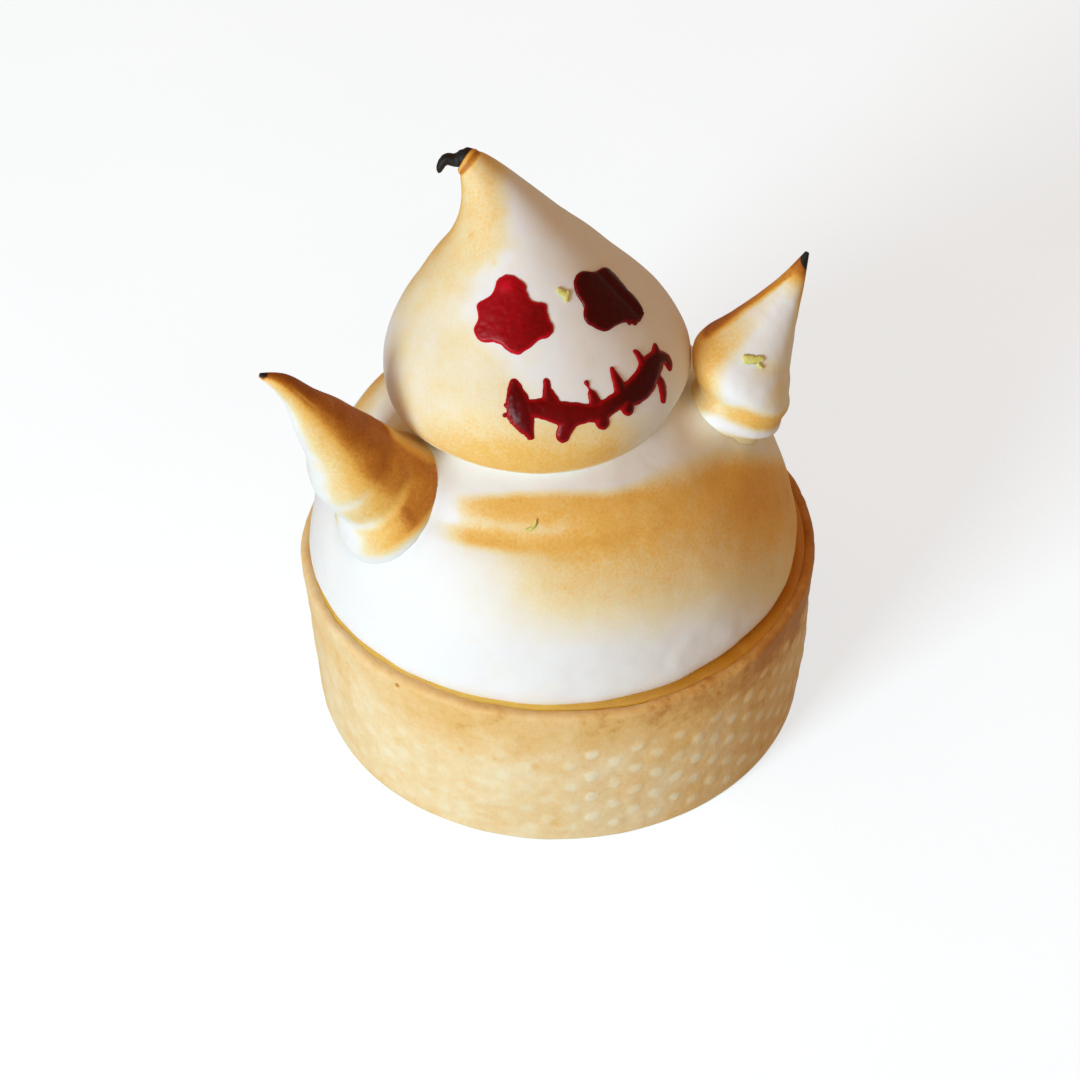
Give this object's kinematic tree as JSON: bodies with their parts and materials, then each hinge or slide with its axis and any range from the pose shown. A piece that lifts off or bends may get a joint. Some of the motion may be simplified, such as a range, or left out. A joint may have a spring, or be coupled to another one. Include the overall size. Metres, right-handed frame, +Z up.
{
  "type": "lemon meringue tart dressed as a ghost",
  "caption": "Individual lemon meringue tart in a straight pastry case, its toasted meringue piped as a ghost with raised arms, a pointed head and a jam face.",
  "frame": {"origin": "centre of the flat underside of the pastry case", "axes": "+Z up out of the tart, -Y towards the side that carries the face, +X to the viewer's right"},
  "size_m": [0.0758, 0.075, 0.0904],
  "materials": {
    "crust": "matt baked sweet pastry, golden, with a fine raised dot grid",
    "lemon": "glossy set lemon filling, amber",
    "meringue": "soft white meringue, toasted golden to brown",
    "gel": "glossy dark red fruit gel"
  },
  "bodies": {
    "root": {"crust": "crust", "lemon_filling": "lemon", "meringue_body": "meringue", "meringue_head": "meringue", "arm_left": "meringue", "arm_right": "meringue", "eye_left": "gel", "eye_right": "gel", "mouth": "gel"}
  },
  "joints": []
}
